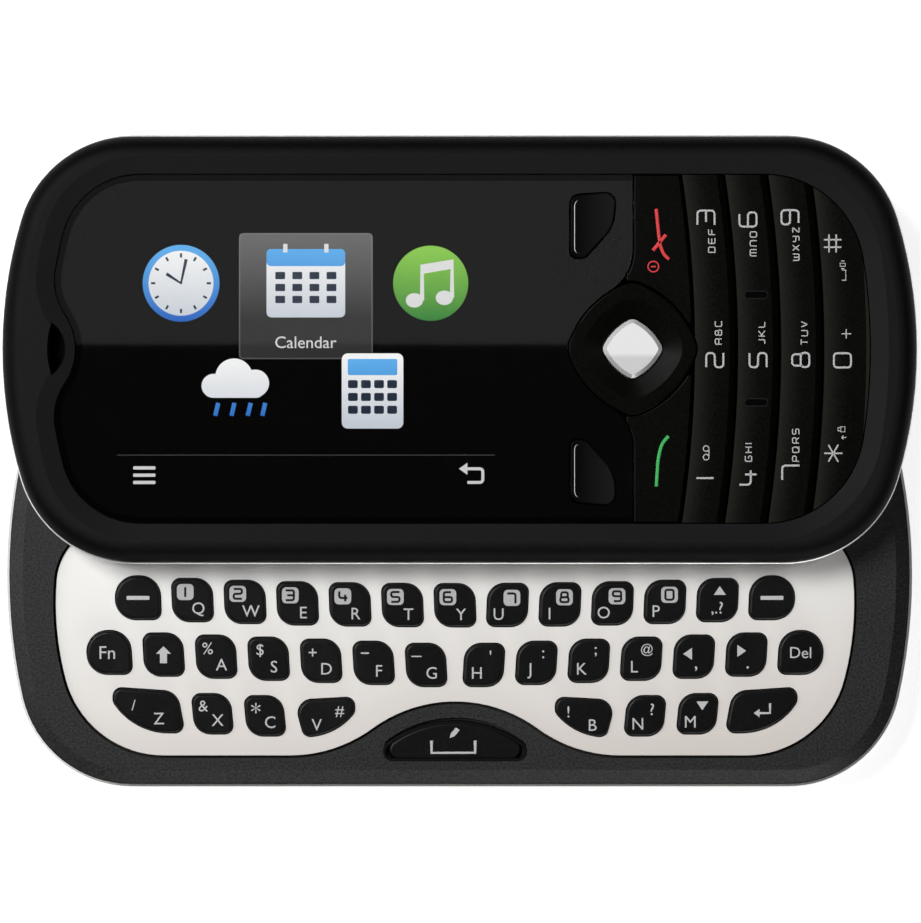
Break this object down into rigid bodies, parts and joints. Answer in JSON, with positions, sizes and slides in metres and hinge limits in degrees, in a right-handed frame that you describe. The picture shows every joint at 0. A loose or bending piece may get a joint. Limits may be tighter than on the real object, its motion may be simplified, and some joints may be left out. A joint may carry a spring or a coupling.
{
  "type": "side-sliding mobile phone",
  "caption": "Pocket phone with a display half that slides sideways off a full letter keyboard, with a number pad, navigation ring and sliding battery cover.",
  "frame": {"origin": "middle of the flat back face of the base half", "axes": "+X along the phone towards the number keys, +Y the way the display half slides open, +Z out of the display"},
  "size_m": [0.1076, 0.0769, 0.0154],
  "materials": {
    "white_housing": "satin",
    "battery_wrap": "matt",
    "circuit_board": "satin",
    "dark_frame": "fine grain",
    "keyboard_panel": "satin",
    "dark_key": "satin",
    "slide_steel": "brushed",
    "silver_rim": "silver paint",
    "matt_bezel": "soft matt",
    "window": "gloss",
    "display": "gloss",
    "gloss_key": "gloss",
    "number_bar": "satin",
    "silver_button": "satin chrome"
  },
  "bodies": {
    "base": {"rear_housing": "white_housing", "base_frame": "dark_frame", "keyboard_panel": "keyboard_panel", "main_circuit_board": "circuit_board", "battery": "battery_wrap", "slide_shoe_plate": "slide_steel"},
    "slider": {"slider_back": "silver_rim", "slider_bezel": "matt_bezel", "display_window": "window", "display_module": "display", "slider_circuit_board": "circuit_board", "slide_rail_plate": "slide_steel", "slide_spring": "slide_steel"},
    "cover": {"battery_cover": "white_housing"},
    "soft_key_right": {"soft_key_right": "gloss_key"},
    "soft_key_left": {"soft_key_left": "gloss_key"},
    "end_key": {"end_key": "number_bar"},
    "call_key": {"call_key": "number_bar"},
    "key_bar_123": {"key_bar_123": "number_bar"},
    "key_bar_456": {"key_bar_456": "number_bar"},
    "key_bar_789": {"key_bar_789": "number_bar"},
    "key_bar_star_0_hash": {"key_bar_star_0_hash": "number_bar"},
    "nav_ring": {"nav_ring": "gloss_key"},
    "ok_button": {"ok_button": "silver_button"},
    "key_dash_left": {"key_dash_left": "dark_key"},
    "key_q": {"key_q": "dark_key"},
    "key_w": {"key_w": "dark_key"},
    "key_e": {"key_e": "dark_key"},
    "key_r": {"key_r": "dark_key"},
    "key_t": {"key_t": "dark_key"},
    "key_y": {"key_y": "dark_key"},
    "key_u": {"key_u": "dark_key"},
    "key_i": {"key_i": "dark_key"},
    "key_o": {"key_o": "dark_key"},
    "key_p": {"key_p": "dark_key"},
    "key_up_punctuation": {"key_up_punctuation": "dark_key"},
    "key_dash_right": {"key_dash_right": "dark_key"},
    "key_fn": {"key_fn": "dark_key"},
    "key_shift": {"key_shift": "dark_key"},
    "key_a": {"key_a": "dark_key"},
    "key_s": {"key_s": "dark_key"},
    "key_d": {"key_d": "dark_key"},
    "key_f": {"key_f": "dark_key"},
    "key_g": {"key_g": "dark_key"},
    "key_h": {"key_h": "dark_key"},
    "key_j": {"key_j": "dark_key"},
    "key_k": {"key_k": "dark_key"},
    "key_l": {"key_l": "dark_key"},
    "key_left_comma": {"key_left_comma": "dark_key"},
    "key_right_period": {"key_right_period": "dark_key"},
    "key_delete": {"key_delete": "dark_key"},
    "key_z": {"key_z": "dark_key"},
    "key_x": {"key_x": "dark_key"},
    "key_c": {"key_c": "dark_key"},
    "key_v": {"key_v": "dark_key"},
    "key_b": {"key_b": "dark_key"},
    "key_n": {"key_n": "dark_key"},
    "key_m": {"key_m": "dark_key"},
    "key_enter": {"key_enter": "dark_key"},
    "key_space": {"key_space": "dark_key"}
  },
  "joints": [
    {"name": "slider_slide", "type": "slide", "parent": "base", "child": "slider", "axis": [0, 1, 0], "range_m": [-0.0266, 0], "deforming": ["slide_spring"]},
    {"name": "cover_slide", "type": "slide", "parent": "base", "child": "cover", "axis": [1, 0, 0], "range_m": [0, 0.008]},
    {"name": "soft_key_right_press", "type": "slide", "parent": "slider", "child": "soft_key_right", "axis": [0, 0, -1], "range_m": [0, 0.00025], "stiffness_N_per_m": 600, "springref_m": -0.0005},
    {"name": "soft_key_left_press", "type": "slide", "parent": "slider", "child": "soft_key_left", "axis": [0, 0, -1], "range_m": [0, 0.00025], "stiffness_N_per_m": 600, "springref_m": -0.0005},
    {"name": "end_key_press", "type": "slide", "parent": "slider", "child": "end_key", "axis": [0, 0, -1], "range_m": [0, 0.00025], "stiffness_N_per_m": 600, "springref_m": -0.0005},
    {"name": "call_key_press", "type": "slide", "parent": "slider", "child": "call_key", "axis": [0, 0, -1], "range_m": [0, 0.00025], "stiffness_N_per_m": 600, "springref_m": -0.0005},
    {"name": "key_bar_123_press", "type": "slide", "parent": "slider", "child": "key_bar_123", "axis": [0, 0, -1], "range_m": [0, 0.00025], "stiffness_N_per_m": 600, "springref_m": -0.0005},
    {"name": "key_bar_456_press", "type": "slide", "parent": "slider", "child": "key_bar_456", "axis": [0, 0, -1], "range_m": [0, 0.00025], "stiffness_N_per_m": 600, "springref_m": -0.0005},
    {"name": "key_bar_789_press", "type": "slide", "parent": "slider", "child": "key_bar_789", "axis": [0, 0, -1], "range_m": [0, 0.00025], "stiffness_N_per_m": 600, "springref_m": -0.0005},
    {"name": "key_bar_star_0_hash_press", "type": "slide", "parent": "slider", "child": "key_bar_star_0_hash", "axis": [0, 0, -1], "range_m": [0, 0.00025], "stiffness_N_per_m": 600, "springref_m": -0.0005},
    {"name": "nav_ring_press", "type": "slide", "parent": "slider", "child": "nav_ring", "axis": [0, 0, -1], "range_m": [0, 0.00025], "stiffness_N_per_m": 600, "springref_m": -0.0005},
    {"name": "ok_button_press", "type": "slide", "parent": "slider", "child": "ok_button", "axis": [0, 0, -1], "range_m": [0, 0.00025], "stiffness_N_per_m": 600, "springref_m": -0.0005},
    {"name": "key_dash_left_press", "type": "slide", "parent": "base", "child": "key_dash_left", "axis": [0, 0, -1], "range_m": [0, 0.00025], "stiffness_N_per_m": 600, "springref_m": -0.0005},
    {"name": "key_q_press", "type": "slide", "parent": "base", "child": "key_q", "axis": [0, 0, -1], "range_m": [0, 0.00025], "stiffness_N_per_m": 600, "springref_m": -0.0005},
    {"name": "key_w_press", "type": "slide", "parent": "base", "child": "key_w", "axis": [0, 0, -1], "range_m": [0, 0.00025], "stiffness_N_per_m": 600, "springref_m": -0.0005},
    {"name": "key_e_press", "type": "slide", "parent": "base", "child": "key_e", "axis": [0, 0, -1], "range_m": [0, 0.00025], "stiffness_N_per_m": 600, "springref_m": -0.0005},
    {"name": "key_r_press", "type": "slide", "parent": "base", "child": "key_r", "axis": [0, 0, -1], "range_m": [0, 0.00025], "stiffness_N_per_m": 600, "springref_m": -0.0005},
    {"name": "key_t_press", "type": "slide", "parent": "base", "child": "key_t", "axis": [0, 0, -1], "range_m": [0, 0.00025], "stiffness_N_per_m": 600, "springref_m": -0.0005},
    {"name": "key_y_press", "type": "slide", "parent": "base", "child": "key_y", "axis": [0, 0, -1], "range_m": [0, 0.00025], "stiffness_N_per_m": 600, "springref_m": -0.0005},
    {"name": "key_u_press", "type": "slide", "parent": "base", "child": "key_u", "axis": [0, 0, -1], "range_m": [0, 0.00025], "stiffness_N_per_m": 600, "springref_m": -0.0005},
    {"name": "key_i_press", "type": "slide", "parent": "base", "child": "key_i", "axis": [0, 0, -1], "range_m": [0, 0.00025], "stiffness_N_per_m": 600, "springref_m": -0.0005},
    {"name": "key_o_press", "type": "slide", "parent": "base", "child": "key_o", "axis": [0, 0, -1], "range_m": [0, 0.00025], "stiffness_N_per_m": 600, "springref_m": -0.0005},
    {"name": "key_p_press", "type": "slide", "parent": "base", "child": "key_p", "axis": [0, 0, -1], "range_m": [0, 0.00025], "stiffness_N_per_m": 600, "springref_m": -0.0005},
    {"name": "key_up_punctuation_press", "type": "slide", "parent": "base", "child": "key_up_punctuation", "axis": [0, 0, -1], "range_m": [0, 0.00025], "stiffness_N_per_m": 600, "springref_m": -0.0005},
    {"name": "key_dash_right_press", "type": "slide", "parent": "base", "child": "key_dash_right", "axis": [0, 0, -1], "range_m": [0, 0.00025], "stiffness_N_per_m": 600, "springref_m": -0.0005},
    {"name": "key_fn_press", "type": "slide", "parent": "base", "child": "key_fn", "axis": [0, 0, -1], "range_m": [0, 0.00025], "stiffness_N_per_m": 600, "springref_m": -0.0005},
    {"name": "key_shift_press", "type": "slide", "parent": "base", "child": "key_shift", "axis": [0, 0, -1], "range_m": [0, 0.00025], "stiffness_N_per_m": 600, "springref_m": -0.0005},
    {"name": "key_a_press", "type": "slide", "parent": "base", "child": "key_a", "axis": [0, 0, -1], "range_m": [0, 0.00025], "stiffness_N_per_m": 600, "springref_m": -0.0005},
    {"name": "key_s_press", "type": "slide", "parent": "base", "child": "key_s", "axis": [0, 0, -1], "range_m": [0, 0.00025], "stiffness_N_per_m": 600, "springref_m": -0.0005},
    {"name": "key_d_press", "type": "slide", "parent": "base", "child": "key_d", "axis": [0, 0, -1], "range_m": [0, 0.00025], "stiffness_N_per_m": 600, "springref_m": -0.0005},
    {"name": "key_f_press", "type": "slide", "parent": "base", "child": "key_f", "axis": [0, 0, -1], "range_m": [0, 0.00025], "stiffness_N_per_m": 600, "springref_m": -0.0005},
    {"name": "key_g_press", "type": "slide", "parent": "base", "child": "key_g", "axis": [0, 0, -1], "range_m": [0, 0.00025], "stiffness_N_per_m": 600, "springref_m": -0.0005},
    {"name": "key_h_press", "type": "slide", "parent": "base", "child": "key_h", "axis": [0, 0, -1], "range_m": [0, 0.00025], "stiffness_N_per_m": 600, "springref_m": -0.0005},
    {"name": "key_j_press", "type": "slide", "parent": "base", "child": "key_j", "axis": [0, 0, -1], "range_m": [0, 0.00025], "stiffness_N_per_m": 600, "springref_m": -0.0005},
    {"name": "key_k_press", "type": "slide", "parent": "base", "child": "key_k", "axis": [0, 0, -1], "range_m": [0, 0.00025], "stiffness_N_per_m": 600, "springref_m": -0.0005},
    {"name": "key_l_press", "type": "slide", "parent": "base", "child": "key_l", "axis": [0, 0, -1], "range_m": [0, 0.00025], "stiffness_N_per_m": 600, "springref_m": -0.0005},
    {"name": "key_left_comma_press", "type": "slide", "parent": "base", "child": "key_left_comma", "axis": [0, 0, -1], "range_m": [0, 0.00025], "stiffness_N_per_m": 600, "springref_m": -0.0005},
    {"name": "key_right_period_press", "type": "slide", "parent": "base", "child": "key_right_period", "axis": [0, 0, -1], "range_m": [0, 0.00025], "stiffness_N_per_m": 600, "springref_m": -0.0005},
    {"name": "key_delete_press", "type": "slide", "parent": "base", "child": "key_delete", "axis": [0, 0, -1], "range_m": [0, 0.00025], "stiffness_N_per_m": 600, "springref_m": -0.0005},
    {"name": "key_z_press", "type": "slide", "parent": "base", "child": "key_z", "axis": [0, 0, -1], "range_m": [0, 0.00025], "stiffness_N_per_m": 600, "springref_m": -0.0005},
    {"name": "key_x_press", "type": "slide", "parent": "base", "child": "key_x", "axis": [0, 0, -1], "range_m": [0, 0.00025], "stiffness_N_per_m": 600, "springref_m": -0.0005},
    {"name": "key_c_press", "type": "slide", "parent": "base", "child": "key_c", "axis": [0, 0, -1], "range_m": [0, 0.00025], "stiffness_N_per_m": 600, "springref_m": -0.0005},
    {"name": "key_v_press", "type": "slide", "parent": "base", "child": "key_v", "axis": [0, 0, -1], "range_m": [0, 0.00025], "stiffness_N_per_m": 600, "springref_m": -0.0005},
    {"name": "key_b_press", "type": "slide", "parent": "base", "child": "key_b", "axis": [0, 0, -1], "range_m": [0, 0.00025], "stiffness_N_per_m": 600, "springref_m": -0.0005},
    {"name": "key_n_press", "type": "slide", "parent": "base", "child": "key_n", "axis": [0, 0, -1], "range_m": [0, 0.00025], "stiffness_N_per_m": 600, "springref_m": -0.0005},
    {"name": "key_m_press", "type": "slide", "parent": "base", "child": "key_m", "axis": [0, 0, -1], "range_m": [0, 0.00025], "stiffness_N_per_m": 600, "springref_m": -0.0005},
    {"name": "key_enter_press", "type": "slide", "parent": "base", "child": "key_enter", "axis": [0, 0, -1], "range_m": [0, 0.00025], "stiffness_N_per_m": 600, "springref_m": -0.0005},
    {"name": "key_space_press", "type": "slide", "parent": "base", "child": "key_space", "axis": [0, 0, -1], "range_m": [0, 0.00025], "stiffness_N_per_m": 600, "springref_m": -0.0005}
  ]
}
